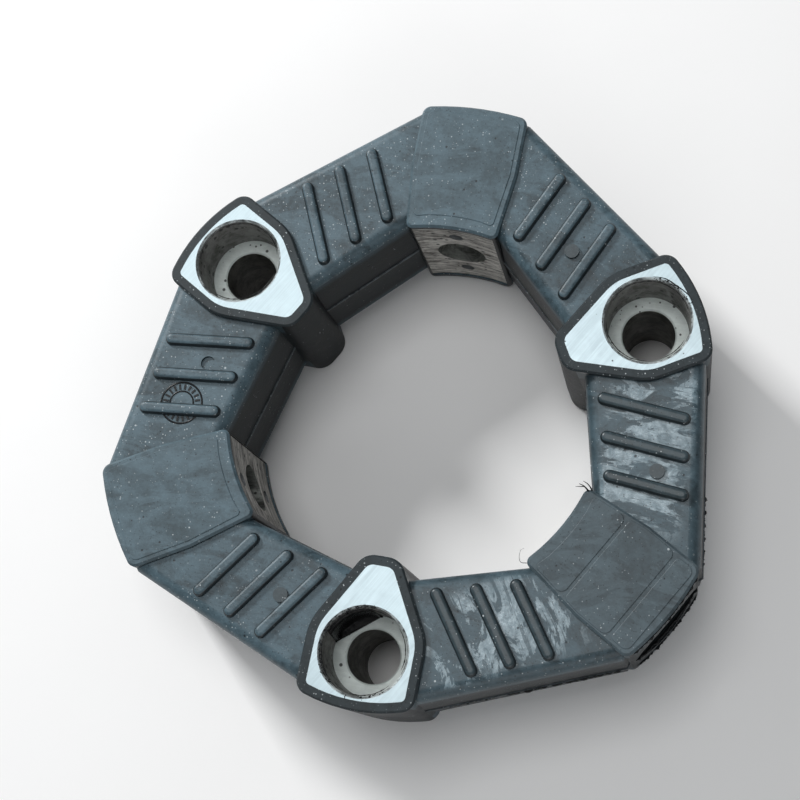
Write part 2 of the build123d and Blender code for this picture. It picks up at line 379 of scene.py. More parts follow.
@dataclass(frozen=True)
class RubberFinish:
    """Moulded rubber with bloom, dust and scuffs.

    Args:
        name: The material's name.
        base: Colour of the clean rubber, linear.
        bloom: Colour of the cloudy bloom on it, linear.
        bloom_amount: How strongly the bloom shows.
        dust_share: Share of cells with a pale speck.
        scuff: Share of thin scuffs.
        roughness: Middle roughness.
        grain: Depth of the fine grain, in millimetres.
        film_and_sheen_azimuth: Azimuth of a column that carries dried film, whose pale colour is
            partly painted sheen, or None.
        film_and_sheen_cover: How much of it the film and its painted sheen cover.
        shoulder: How far a wall takes the column's colour near its upper and lower edges, where its
            painted shade fades.
        specular: Strength of its reflection.
        smudge: How strongly pale smudges show.
        seed: Moves the patterns.
    """

    name: str
    base: Colour
    bloom: Colour
    bloom_amount: float = 0.6
    dust_share: float = 0.2
    scuff: float = 0.2
    roughness: float = 0.5
    grain: float = 0.05
    film_and_sheen_azimuth: float | None = None
    film_and_sheen_cover: float = 0.6
    shoulder: float = 0.0
    specular: float = 0.42
    smudge: float = 0.0
    seed: float = 0.0

    def build(self) -> bpy.types.Material:
        """Makes the material."""
        surface = Surface(self.name)
        graph = surface.graph
        vector = graph.shifted(surface.vector, self.seed)
        broad = surface.effect(Effect.MOTTLE, vector, Scale=110.0, Contrast=0.35)
        close = surface.effect(Effect.MOTTLE, vector, Scale=420.0, Contrast=0.45)
        grain = surface.effect(Effect.MOTTLE, vector, Scale=1700.0, Contrast=0.2)
        cloud = graph.plus(graph.times(broad, 0.4), graph.times(close, 0.35))
        cloud = graph.plus(cloud, graph.times(grain, 0.25))
        cloud = graph.times(cloud, self.bloom_amount)
        colour = graph.blend(cloud, self.base, self.bloom)
        if self.smudge > 0:
            smears = surface.effect(Effect.FILM, vector, Scale=95.0, Cover=0.62)
            lighter = tuple(value * 1.25 for value in self.bloom)
            colour = graph.blend(graph.times(smears, self.smudge), colour, lighter)
        # A wall's painted shade fades into the column's colour near its upper and lower edges.
        if self.shoulder > 0:
            height = graph.parts(surface.vector)[2]
            level = graph.math("ABSOLUTE", graph.minus(height, RING.middle * MM))
            near = graph.ramp(level, 9.8 * MM, 12.0 * MM, 0.0, self.shoulder)
            colour = graph.blend(near, colour, graph.blend(cloud, RUBBER, BLOOM))
        scuffs = surface.effect(Effect.SCRATCH, vector, Scale=420.0, Share=self.scuff)
        pale = tuple(min(1.0, value * 1.9 + 0.02) for value in self.bloom)
        colour = graph.blend(graph.times(scuffs, 0.5), colour, pale)
        rough = graph.plus(graph.times(cloud, 0.14), self.roughness - 0.05)
        if self.film_and_sheen_azimuth is not None:
            colour, rough = self.add_film_and_sheen(surface, colour, rough)
        fine = surface.effect(Effect.SPECKS, vector, Scale=2300.0, Size=0.42, Share=self.dust_share)
        coarse = surface.effect(Effect.SPECKS, vector, Scale=1000.0, Size=0.30,
                                Share=self.dust_share * 0.22)
        drift = surface.effect(Effect.MOTTLE, graph.shifted(vector, 0.53), Scale=70.0,
                               Contrast=0.5)
        drift = graph.ramp(drift, 0.25, 0.9, 0.2, 1.0)
        dust = graph.math("MAXIMUM", graph.times(fine, 0.75), coarse)
        dust = graph.times(dust, drift)
        pores = surface.effect(Effect.SPECKS, graph.shifted(vector, 0.37), Scale=900.0, Size=0.3,
                               Share=0.08)
        pits = surface.effect(Effect.SPECKS, graph.shifted(vector, 0.67), Scale=2600.0, Size=0.5,
                              Share=0.22)
        for mask, strength, cover in ((pits, 0.55, PIT), (pores, 0.8, PIT), (dust, 0.75, DUST)):
            colour = graph.blend(graph.times(mask, strength), colour, cover)
        height = surface.effect(Effect.GRAIN, vector, Scale=1700.0)
        height = graph.minus(height, graph.times(pores, 1.2))
        surface.plug("Base Color", colour)
        surface.plug("Roughness", rough)
        surface.plug("Specular IOR Level", self.specular)
        surface.relief(height, 0.55, self.grain)
        return surface.material

    def add_film_and_sheen(self, surface: Surface, colour, rough) -> tuple:
        """Lays pale dried film over a column's top; its pale colour is partly painted sheen.

        Args:
            surface: The material under construction.
            colour: Colour so far.
            rough: Roughness so far.

        Returns:
            The new colour and roughness.
        """
        graph = surface.graph
        local = surface.turned(self.film_and_sheen_azimuth, (47.5, 0.0))
        parts = graph.parts(local)
        across = graph.ramp(graph.math("ABSOLUTE", parts[0]), 6.5 * MM, 10.5 * MM, 1.0, 0.0)
        along = graph.ramp(graph.math("ABSOLUTE", parts[1]), 12.0 * MM, 21.0 * MM, 1.0, 0.0)
        patch = surface.effect(Effect.FILM, graph.shifted(local, self.seed), Scale=150.0,
                               Cover=self.film_and_sheen_cover)
        torn = surface.effect(Effect.SCRATCH, graph.shifted(local, 0.2), Scale=650.0, Share=0.9)
        level = graph.ramp(parts[2], (RING.column_top - 0.4) * MM, (RING.column_top - 0.1) * MM)
        film = graph.times(graph.times(across, along), patch)
        film = graph.times(film, graph.minus(1.0, graph.times(torn, 0.75)))
        film = graph.times(film, level)
        tone = surface.effect(Effect.MOTTLE, local, Scale=520.0, Contrast=0.3)
        # Pale colour of the film: dried film, partly painted sheen.
        pale = graph.blend(tone, THIN_FILM_AND_SHEEN, THICK_FILM_AND_SHEEN)
        colour = graph.blend(graph.times(film, 0.85), colour, pale)
        rough = graph.minus(rough, graph.times(film, 0.18))
        return colour, rough


@dataclass(frozen=True)
class MetalFinish:
    """Aluminium with tool marks, stains and specks.

    Args:
        name: The material's name.
        base: Colour of the bare metal, linear.
        dark: Colour in marks and stains, linear.
        marks: How strongly the tool marks colour it.
        mark_azimuth: Direction of the marks in plan, in degrees.
        mark_scale: Fineness of the marks.
        stain: How much mottled staining lies on it.
        specks: Share of dark specks.
        speck_size: Size of the specks against their cells.
        metallic: How metallic it looks.
        roughness: Middle roughness.
        depth: Depth of the marks, in millimetres.
        mark_edge: Half width of the step between marked and bare metal.
        seed: Moves the patterns.
    """

    name: str
    base: Colour
    dark: Colour
    marks: float = 0.3
    mark_azimuth: float = 0.0
    mark_scale: float = 2500.0
    stain: float = 0.2
    specks: float = 0.1
    speck_size: float = 0.3
    metallic: float = 0.85
    roughness: float = 0.35
    depth: float = 0.01
    mark_edge: float = 0.5
    seed: float = 0.0

    def build(self) -> bpy.types.Material:
        """Makes the material."""
        surface = Surface(self.name)
        graph = surface.graph
        vector = graph.shifted(surface.turned(self.mark_azimuth), self.seed)
        brush = surface.effect(Effect.BRUSH, vector, Scale=self.mark_scale, Length=0.03)
        cloud = surface.effect(Effect.MOTTLE, vector, Scale=330.0, Contrast=0.4)
        marked = graph.ramp(brush, 0.5 - self.mark_edge, 0.5 + self.mark_edge)
        factor = graph.math("ADD", graph.times(marked, self.marks),
                            graph.times(cloud, self.stain), clamp=True)
        colour = graph.blend(factor, self.base, self.dark)
        spots = surface.effect(Effect.SPECKS, vector, Scale=800.0, Size=self.speck_size,
                               Share=self.specks)
        colour = graph.blend(graph.times(spots, 0.9), colour, METAL_SPECK)
        rough = graph.plus(self.roughness - 0.06, graph.times(factor, 0.2))
        metal = graph.minus(self.metallic, graph.times(spots, 0.5))
        surface.plug("Base Color", colour)
        surface.plug("Roughness", rough)
        surface.plug("Metallic", metal)
        height = graph.minus(brush, graph.times(spots, 0.8))
        surface.relief(height, 0.6, self.depth)
        return surface.material


RUBBER = (0.021, 0.035, 0.042)
BLOOM = (0.096, 0.152, 0.184)
COLUMN = RubberFinish("column_rubber", RUBBER, BLOOM, 0.85, 0.34, 0.36, 0.42, 0.06, smudge=0.5)
# Columns under dried film; its pale colour is partly painted sheen.
FILM_AND_SHEEN_B = RubberFinish("filmed_column_rubber_with_sheen_1", RUBBER, BLOOM, 0.6, 0.2, 0.3, 0.40, 0.04,
                      film_and_sheen_azimuth=0.0, film_and_sheen_cover=0.64, smudge=0.3, seed=0.11)
FILM_AND_SHEEN_C = RubberFinish("filmed_column_rubber_with_sheen_2", RUBBER, BLOOM, 0.6, 0.2, 0.4, 0.40, 0.04,
                      film_and_sheen_azimuth=300.0, film_and_sheen_cover=0.54, smudge=0.3, seed=0.23)
BLOCK = RubberFinish("block_rubber", (0.032, 0.052, 0.062), (0.105, 0.163, 0.196), 0.85, 0.25,
                     0.16, 0.50, 0.04, smudge=0.4, seed=0.31)
GREY_BLOCK = RubberFinish("grey_block_rubber", (0.028, 0.041, 0.048), (0.088, 0.124, 0.143), 0.85,
                          0.2, 0.2, 0.50, 0.04, smudge=0.5, seed=0.37)
RIM = RubberFinish("rim_rubber", (0.017, 0.023, 0.026), (0.044, 0.058, 0.065), 0.8, 0.34, 0.1,
                   0.56, 0.04, specular=0.3, seed=0.43)
RIB = RubberFinish("rib_rubber", (0.020, 0.031, 0.036), (0.072, 0.108, 0.126), 0.7, 0.2, 0.15,
                   0.36, 0.03, seed=0.57)
# Rib sides: a darker copy of the rib rubber, painted shade on the ribs' flanks.
RIB_SIDE_PAINTED_SHADE = RubberFinish("rib_side_rubber_painted_shade", (0.009, 0.013, 0.015), (0.028, 0.041, 0.048), 0.6, 0.12,
                        0.1, 0.34, 0.03, seed=0.61)
# Walls: near-black copies of the column rubber, painted shade; the tall walls of blocks and rims
# take the second, painted shadow.
WALL_PAINTED_SHADE = RubberFinish("wall_rubber_painted_shade", (0.005, 0.007, 0.008), (0.020, 0.028, 0.032), 0.7, 0.07, 0.3,
                    0.42, 0.06, shoulder=0.9, specular=0.2, seed=0.71)
DARK_WALL_PAINTED_SHADE = RubberFinish("dark_wall_rubber_painted_shade", (0.005, 0.007, 0.008), (0.018, 0.024, 0.027), 0.7,
                         0.07, 0.2, 0.45, 0.06, specular=0.18, seed=0.77)
SEAM = RubberFinish("seam_rubber", (0.010, 0.012, 0.014), (0.19, 0.22, 0.24), 1.0, 0.2, 0.5,
                    0.5, 0.06, specular=0.3, seed=0.83)
# Near-black rubber: real flash on the strands, fins and hub walls, and painted shade on the moulded
# mark and along the seat mouths.
BLACK_FLASH_AND_PAINTED_SHADE = RubberFinish("black_flash_and_painted_shade_rubber", (0.004, 0.005, 0.006), (0.012, 0.014, 0.016), 0.3, 0.03, 0.1,
                     0.32, 0.04, specular=0.3, seed=0.91)
SMEAR = RubberFinish("smeared_rubber", (0.002, 0.002, 0.003), (0.006, 0.007, 0.008), 0.3, 0.02,
                     0.1, 0.22, 0.2, specular=0.3, seed=0.97)
FACE = MetalFinish("brushed_face", (0.51, 0.62, 0.66), (0.34, 0.42, 0.455), 0.30, 60.0, 3300.0,
                   0.12, 0.05, 0.22, 0.55, 0.42, 0.010)
# Seat wall and floor are one aluminium: the wall's dark grey is painted shade and the floor's near
# white is painted light; the wall's black specks are rubber flecks.
SEAT_WALL_PAINTED_SHADE = MetalFinish("seat_wall_painted_shade", (0.33, 0.33, 0.32), (0.10, 0.10, 0.09), 0.3, 0.0, 1800.0,
                        0.6, 0.6, 0.6, 0.3, 0.5, 0.05, seed=0.17)
SEAT_FLOOR_PAINTED_LIGHT = MetalFinish("seat_floor_painted_light", (0.86, 0.94, 0.91), (0.56, 0.62, 0.60), 0.2, 0.0, 1800.0,
                         0.35, 0.5, 0.36, 0.1, 0.5, 0.05, seed=0.29)
# Through hole: the insert's aluminium darkened, painted shade deep in the bore.
HOLE_WALL_PAINTED_SHADE = MetalFinish("hole_wall_painted_shade", (0.20, 0.20, 0.18), (0.06, 0.06, 0.055), 0.4, 0.0, 1800.0,
                        0.5, 0.2, 0.3, 0.3, 0.45, 0.02, seed=0.41)
MOUTH = MetalFinish("seat_mouth", (0.80, 0.88, 0.89), (0.10, 0.11, 0.11), 0.3, 0.0, 1300.0,
                    0.75, 0.6, 0.5, 0.35, 0.45, 0.08, mark_edge=0.25, seed=0.53)
RADIAL_HOLE = MetalFinish("radial_hole", (0.46, 0.48, 0.45), (0.07, 0.07, 0.065), 0.4, 0.0, 1600.0,
                          0.6, 0.12, 0.4, 0.4, 0.4, 0.04, seed=0.73)
INSERT_SIDE = MetalFinish("insert_side", (0.45, 0.47, 0.48), (0.2, 0.21, 0.22), 0.4, 0.0, 1500.0,
                          0.4, 0.15, 0.3, 0.6, 0.5, 0.03, seed=0.67)


def hub_face_finish(azimuth: float) -> MetalFinish:
    """Rough turned finish of a hub face, its marks along the tangent."""
    return MetalFinish(f"hub_face_{azimuth:.0f}", (0.82, 0.80, 0.75), (0.045, 0.038, 0.032), 0.62,
                       azimuth + 90.0, 1100.0, 0.3, 0.3, 0.5, 0.15, 0.5, 0.16, mark_edge=0.3,
                       seed=0.1 + azimuth * 0.003)


class MaterialShelf:
    """Keeps one material per finish."""

    def __init__(self) -> None:
        """Starts empty."""
        self.made: dict[str, bpy.types.Material] = {}

    def get(self, finish: RubberFinish | MetalFinish) -> bpy.types.Material:
        """The material of a finish, made when first asked for."""
        if finish.name not in self.made:
            self.made[finish.name] = finish.build()
        return self.made[finish.name]


SHELF = MaterialShelf()
Finish = RubberFinish | MetalFinish


def dress(node: str, choose: Callable[[Vector, Vector, float], Finish]) -> bpy.types.Object:
    """Gives each face of a CAD node the finish of its place.

    Args:
        node: Name of the node.
        choose: Finish for a face, from its centre in millimetres, its normal and its
            height in millimetres.

    Returns:
        The node's object.
    """
    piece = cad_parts[node]
    slots: dict[str, int] = {}
    piece.data.materials.clear()
    corners = piece.data.vertices
    for face in piece.data.polygons:
        levels = [corners[index].co.z for index in face.vertices]
        finish = choose(face.center / MM, face.normal, (max(levels) - min(levels)) / MM)
        if finish.name not in slots:
            slots[finish.name] = len(slots)
            piece.data.materials.append(SHELF.get(finish))
        face.material_index = slots[finish.name]
    log.info("dressed %s with %d finishes", node, len(slots))
    return piece


# ---- mesh helpers -------------------------------------------------------------------

def add_piece(name: str, mesh: bmesh.types.BMesh, finish: Finish,
              smooth: bool = True) -> bpy.types.Object:
    """Turns a bmesh into a piece that rides with the ring.

    Args:
        name: Name of the piece.
        mesh: Its shape, in metres in the ring's frame; it is freed.
        finish: Its finish.
        smooth: Whether its faces are shaded smooth.

    Returns:
        The new object.
    """
    bmesh.ops.remove_doubles(mesh, verts=mesh.verts, dist=MERGE)
    bmesh.ops.recalc_face_normals(mesh, faces=mesh.faces)
    data = bpy.data.meshes.new(name)
    mesh.to_mesh(data)
    mesh.free()
    for face in data.polygons:
        face.use_smooth = smooth
    data.materials.append(SHELF.get(finish))
    piece = bpy.data.objects.new(name, data)
    bpy.context.scene.collection.objects.link(piece)
    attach(piece, "root")
    log.info("made %s, %d faces", name, len(data.polygons))
    return piece


def spoke(angle: float) -> Vector:
    """Unit vector in the XY plane at an angle in radians."""
    return Vector((math.cos(angle), math.sin(angle), 0))


def skin(mesh: bmesh.types.BMesh, rings: list[list[bmesh.types.BMVert]],
         closed: bool = False) -> None:
    """Joins each ring of vertices to the next with quads.

    Args:
        mesh: The bmesh that holds them.
        rings: Rings with the same number of vertices, in order.
        closed: Whether the last ring joins the first; if not, both ends get a face.
    """
    total = len(rings[0])
    for first, second in zip(rings, rings[1:] + (rings[:1] if closed else [])):
        for side in range(total):
            after = (side + 1) % total
            mesh.faces.new((first[side], first[after], second[after], second[side]))
    if not closed:
        mesh.faces.new(list(reversed(rings[0])))
        mesh.faces.new(rings[-1])


def absorb(mesh: bmesh.types.BMesh, part: bmesh.types.BMesh) -> None:
    """Adds a part to a mesh and frees the part."""
    data = bpy.data.meshes.new("part")
    part.to_mesh(data)
    part.free()
    mesh.from_mesh(data)
    bpy.data.meshes.remove(data)


def round_corners(points: list[tuple[float, float, float]], steps: int = 6) -> list[Vector]:
    """Closed outline with arcs at its corners.

    Args:
        points: Corners as (x, y, radius), in order.
        steps: Segments in each arc.

    Returns:
        The outline's points, flat at z 0.
    """
    outline: list[Vector] = []
    total = len(points)
    for index, (x, y, radius) in enumerate(points):
        here = Vector((x, y, 0))
        if radius <= 0:
            outline.append(here)
            continue
        before = (Vector((*points[index - 1][:2], 0)) - here).normalized()
        after = (Vector((*points[(index + 1) % total][:2], 0)) - here).normalized()
        half = before.angle(after) / 2
        centre = here + (before + after).normalized() * (radius / math.sin(half))
        start = here + before * (radius / math.tan(half)) - centre
        end = here + after * (radius / math.tan(half)) - centre
        for step in range(steps + 1):
            outline.append(centre + start.lerp(end, step / steps).normalized() * radius)
    return outline


def raised_plate(outline: list[Vector], low: float, high: float, bevel: float,
                 place: Place) -> bmesh.types.BMesh:
    """Flat plate with a sloped edge.

    Args:
        outline: Its outline at the foot, in millimetres.
        low: Height of its foot.
        high: Height of its top.
        bevel: How far the top lies inside the foot.
        place: Frame that the outline is given in.

    Returns:
        The plate's bmesh.
    """
    mesh = bmesh.new()
    middle = sum(outline, Vector()) / len(outline)
    total = len(outline)
    rings: list[list[bmesh.types.BMVert]] = []
    for height, inset in ((low, 0.0), (high - bevel * 0.4, bevel * 0.35), (high, bevel)):
        ring = []
        for index, point in enumerate(outline):
            along = outline[(index + 1) % total] - outline[index - 1]
            normal = Vector((along.y, -along.x, 0)).normalized()
            if normal.dot(point - middle) > 0:
                normal.negate()
            moved = point + normal * inset
            ring.append(mesh.verts.new(place.point(moved.x, moved.y, height)))
        rings.append(ring)
    skin(mesh, rings)
    return mesh


def tube(path: list[Vector], radii: list[float], sides: int = 8) -> bmesh.types.BMesh:
    """Round strand along a path.

    Args:
        path: Points in metres.
        radii: Radius at each point, in metres.
        sides: Sides of its section.

    Returns:
        The strand's bmesh, closed at both ends.
    """
    mesh = bmesh.new()
    rings = []
    for index, point in enumerate(path):
        ahead = path[min(index + 1, len(path) - 1)] - path[max(index - 1, 0)]
        turn = ahead.to_track_quat("Z", "Y")
        arms = [spoke(2 * math.pi * side / sides) * radii[index] for side in range(sides)]
        rings.append([mesh.verts.new(point + turn @ arm) for arm in arms])
    skin(mesh, rings)
    return mesh


def smooth_path(points: list[Vector], steps: int = 8) -> list[Vector]:
    """Catmull-Rom curve through points, with even steps between them."""
    ends = [points[0] * 2 - points[1], *points, points[-1] * 2 - points[-2]]
    path = []
    for index in range(1, len(ends) - 2):
        a, b, c, d = ends[index - 1:index + 3]
        for step in range(steps):
            t = step / steps
            path.append(((b * 2) + (c - a) * t + (a * 2 - b * 5 + c * 4 - d) * t ** 2
                         + (b * 3 - a - c * 3 + d) * t ** 3) / 2)
    return [*path, points[-1]]


def ragged_fin(base: list[Vector], outward: list[Vector], reach: float, seed: int,
               thick: float = 0.12) -> bmesh.types.BMesh:
    """Thin torn fin of flash along a line.

    Args:
        base: Points of its root, in metres.
        outward: Direction out of the wall at each point.
        reach: Longest reach, in millimetres.
        seed: Seed of its raggedness.
        thick: Thickness at the root, in millimetres.

    Returns:
        The fin's bmesh.
    """
    mesh = bmesh.new()
    rows = []
    for index, (root, out) in enumerate(zip(base, outward)):
        wave = noise.noise(Vector((index * 0.21, seed, 0))) + 0.5 * noise.noise(
            Vector((index * 0.83, seed, 5)))
        ends = min(index, len(base) - 1 - index) / 4
        length = reach * max(0.06, 0.45 + wave * 0.9) * min(1.0, ends) + 0.02
        droop = Vector((0, 0, 0.35 * noise.noise(Vector((index * 0.3, seed, 9)))))
        tip = root + (out * length + droop * length) * MM
        middle = root.lerp(tip, 0.5) + Vector((0, 0, 0.03)) * MM
        half = Vector((0, 0, thick / 2)) * MM
        row = [root - out * 0.2 * MM + half, middle + half * 0.7, tip,
               middle - half * 0.7, root - out * 0.2 * MM - half]
        rows.append([mesh.verts.new(point) for point in row])
    skin(mesh, rows)
    return mesh


# ---- sub-assemblies -----------------------------------------------------------------

@dataclass
class RubberRing:
    """The moulded rubber ring, its plates, stamp ring and flash.

    Args:
        plate_rise: How far a bare plate stands out of its block.
        plate_bevel: Width of its sloped edge.
        plate_corner: Radius of its outer corners.
        side_inner_half: Half width of a radial block at its inner edge.
        side_outer_half: Its half width from the shoulder outwards.
        shoulder: Where the block's sides turn parallel.
        grey_block: Azimuth of the greyer block.
        axial_span: Half the angle, in degrees, that a skin round an axial insert takes.
        radial_span: Half the angle that a radial block takes.
        rim_level: Height over the seam from which a skin is rim.
        rim_round_level: The same for the rim's rounded edge.
        rim_round_slope: Range of the vertical share of that edge's normal.
        block_round: Height of a block's rounded edge.
        rib_side_slope: Share below which a rib's face is its side.
        rib_flat_rise: Height to which a level face on a rib's band is a small moulded disc.
        flat_slope: Share above which a face is level.
        column_round: Height of a column's rounded long edge.
        wall_slope: Share below which a face is wall.
        seam_level: Half height of the seam's band.
        seam_height: Greatest height of a face in that band.
        hub_flash_radius: Radius inside which a block's wall is thin flash.
        tall_wall: Height from which a wall is one plain face.
        stamp_centre: Centre of the round mark on its column, as x and y.
        column_filled: Azimuths of the columns with dried film and painted sheen, and their finish.
        plates: Per block azimuth, its plates as inner x, outer x and inset.
    """

    plate_rise: float = 0.14
    plate_bevel: float = 0.16
    plate_corner: float = 1.6
    side_inner_half: float = 9.6
    side_outer_half: float = 11.3
    shoulder: float = 52.0
    grey_block: float = 330.0
    axial_span: float = 22.0
    radial_span: float = 17.0
    rim_level: float = 15.9
    rim_round_level: float = 15.55
    rim_round_slope: tuple[float, float] = (0.6, 0.725)
    block_round: float = 0.55
    rib_side_slope: float = 0.8
    rib_flat_rise: float = 0.8
    flat_slope: float = 0.99
    column_round: float = 3.0
    wall_slope: float = 0.04
    seam_level: float = 0.27
    seam_height: float = 0.6
    hub_flash_radius: float = 39.7
    tall_wall: float = 28.0
    stamp_centre: tuple[float, float] = (48.6, 6.7)
    column_filled: dict[int, RubberFinish] = field(
        default_factory=lambda: {0: FILM_AND_SHEEN_B, 300: FILM_AND_SHEEN_C})
    plates: dict[int, tuple[tuple[float, float, float], ...]] = field(default_factory=lambda: {
        330: ((39.9, 47.6, 0.7), (48.2, 59.2, 0.7), (59.9, 64.2, 1.0)),
        90: ((40.3, 64.2, 1.3),),
        210: ((40.2, 64.4, 1.2),),
    })

    def finish_at(self, centre: Vector, normal: Vector, height: float) -> RubberFinish:
        """Finish of the rubber at a place.

        Args:
            centre: A face's centre, in millimetres.
            normal: Its normal.
            height: Its height, in millimetres.

        Returns:
            The finish for that face.
        """
        azimuth = math.degrees(math.atan2(centre.y, centre.x)) % 360
        level = abs(centre.z - RING.middle)
        top = RING.column_top - RING.middle
        slope = abs(normal.z)
        on_axial = any(turn_between(azimuth, each) < self.axial_span
                       for each in RING.axial_azimuths)
        on_radial = any(turn_between(azimuth, each) < self.radial_span
                        for each in RING.radial_azimuths)
        least, most = self.rim_round_slope
        on_round = level > self.rim_round_level and least < slope < most
        if on_axial and (level > self.rim_level or on_round):
            return RIM
        if on_radial and level > RING.block_top - RING.middle - self.block_round:
            return self.block_finish(azimuth)
        column = self.column_filled.get(round(azimuth / 60) % 6 * 60, COLUMN)
        if level > top + RING.rib_band:
            if slope < self.rib_side_slope:
                # A rib's side takes the darker rubber: painted shade.
                return RIB_SIDE_PAINTED_SHADE
            if slope > self.flat_slope and level < top + self.rib_flat_rise:
                return RIB
            return COLUMN if column is COLUMN else RIB
        if level > top - self.column_round and slope > self.wall_slope:
            return column
        if level < self.seam_level and height < self.seam_height:
            return SEAM
        if centre.xy.length < self.hub_flash_radius and on_radial:
            return BLACK_FLASH_AND_PAINTED_SHADE
        # Walls take the near-black rubber: painted shade.
        return DARK_WALL_PAINTED_SHADE if height > self.tall_wall and (on_axial or on_radial) else WALL_PAINTED_SHADE

    def block_finish(self, azimuth: float) -> RubberFinish:
        """Finish of the upper face of the radial block at an azimuth."""
        return GREY_BLOCK if turn_between(azimuth, self.grey_block) < self.radial_span else BLOCK

    def half_width(self, x: float) -> float:
        """Half width of a radial block at x."""
        share = min(1.0, max(0.0, (x - RING.hub_radius) / (self.shoulder - RING.hub_radius)))
        return self.side_inner_half + share * (self.side_outer_half - self.side_inner_half)

    def plate_outline(self, start: float, end: float, inset: float) -> list[Vector]:
        """Outline of a bare plate on a radial block.

        Args:
            start: Inner x; there the edge follows the hub's arc.
            end: Outer x.
            inset: Distance from the block's sides.

        Returns:
            The outline, counter-clockwise.
        """
        near, far = self.half_width(start) - inset, self.half_width(end) - inset
        arc = start < RING.hub_radius + 3
        corner = self.plate_corner
        points = [(start, -near, corner * 0.6), (end, -far, corner), (end, far, corner),
                  (start, near, corner * 0.6)]
        if self.shoulder - 1 > start and self.shoulder + 1 < end:
            side = self.side_outer_half - inset
            points.insert(1, (self.shoulder, -side, 0.0))
            points.insert(4, (self.shoulder, side, 0.0))
        outline = round_corners(points)
        if arc:
            for step in range(1, 8):
                y = (near - 1.2) * (1 - step / 4)
                radius = math.hypot(start, near)
                outline.append(Vector((math.sqrt(radius ** 2 - y ** 2), y, 0)))
        return outline

    def build_plates(self) -> None:
        """Lays the bare plates on the upper faces of the radial blocks."""
        for azimuth, plates in self.plates.items():
            for number, (start, end, inset) in enumerate(plates, 1):
                outline = self.plate_outline(start, end, inset)
                mesh = raised_plate(outline, RING.block_top - 0.2,
                                    RING.block_top + self.plate_rise, self.plate_bevel,
                                    Place(azimuth))
                name = f"block_plate_{RING.radial_azimuths.index(azimuth) + 1}_{number}"
                add_piece(name, mesh, self.block_finish(azimuth), smooth=False)

    def build_stamp(self) -> None:
        """Adds the plain moulded mark on one column: two rings with short bars between, in a
        near-black finish that paints the shade in the mark's letters.
        """
        place = Place(180)
        x, y = self.stamp_centre
        for number, (radius, width) in enumerate(((4.35, 0.24), (2.5, 0.2)), 1):
            mesh = bmesh.new()
            section = [(-width, -0.1), (-width * 0.6, 0.14), (width * 0.6, 0.14), (width, -0.1)]
            rings = []
            for step in range(64):
                angle = 2 * math.pi * step / 64
                rings.append([mesh.verts.new(place.point(
                    x + (radius + across) * math.cos(angle),
                    y + (radius + across) * math.sin(angle), RING.column_top + rise))
                    for across, rise in section])
            skin(mesh, rings, closed=True)
            # Near-black finish on the mark's rings: painted shade.
            add_piece(f"moulded_ring_{number}", mesh, BLACK_FLASH_AND_PAINTED_SHADE)
        mesh = bmesh.new()
        for step in range(20):
            bar = [Vector((px, py, 0)) for px, py in ((2.85, -0.22), (3.95, -0.22),
                                                      (3.95, 0.22), (2.85, 0.22))]
            turn = Matrix.Rotation(2 * math.pi * step / 20, 3, "Z")
            outline = [turn @ corner + Vector((x, y, 0)) for corner in bar]
            absorb(mesh, raised_plate(outline, RING.column_top - 0.1, RING.column_top + 0.12,
                                      0.06, place))
        # Near-black finish on the mark's bars: painted shade.
        add_piece("moulded_bars", mesh, BLACK_FLASH_AND_PAINTED_SHADE, smooth=False)

    def build_strands(self) -> None:
        """Adds the hair-thin strands of flash at one block's inner corners."""
        top = RING.block_top
        strands = {
            "flash_strand_1": (Place(330), ((38.6, 8.9, top - 0.4), (37.3, 9.3, top + 0.1),
                                            (36.4, 8.7, top + 0.2), (35.7, 8.2, top)), 0.13),
            "flash_strand_2": (Place(330), ((39.0, 9.4, top - 0.7), (38.2, 9.9, top - 0.2),
                                            (37.2, 10.1, top + 0.1), (36.2, 10.0, top)), 0.16),
            "flash_strand_4": (Place(330), ((38.9, 9.0, top - 0.6), (37.9, 9.2, top - 0.1),
                                            (36.9, 9.3, top + 0.1), (35.9, 9.1, top)), 0.20),
            "flash_strand_3": (Place(330), ((38.2, -9.4, top - 0.6), (37.2, -10.1, top - 0.3),
                                            (36.3, -9.6, top - 0.1), (35.6, -8.4, top - 0.3),
                                            (35.8, -7.6, top - 0.5)), 0.06),
        }
        for name, (place, points, radius) in strands.items():
            path = smooth_path([place.point(*point) for point in points])
            count = len(path) - 1
            radii = [radius * MM * (1.15 - 0.85 * step / count) for step in range(count + 1)]
            add_piece(name, tube(path, radii), BLACK_FLASH_AND_PAINTED_SHADE)

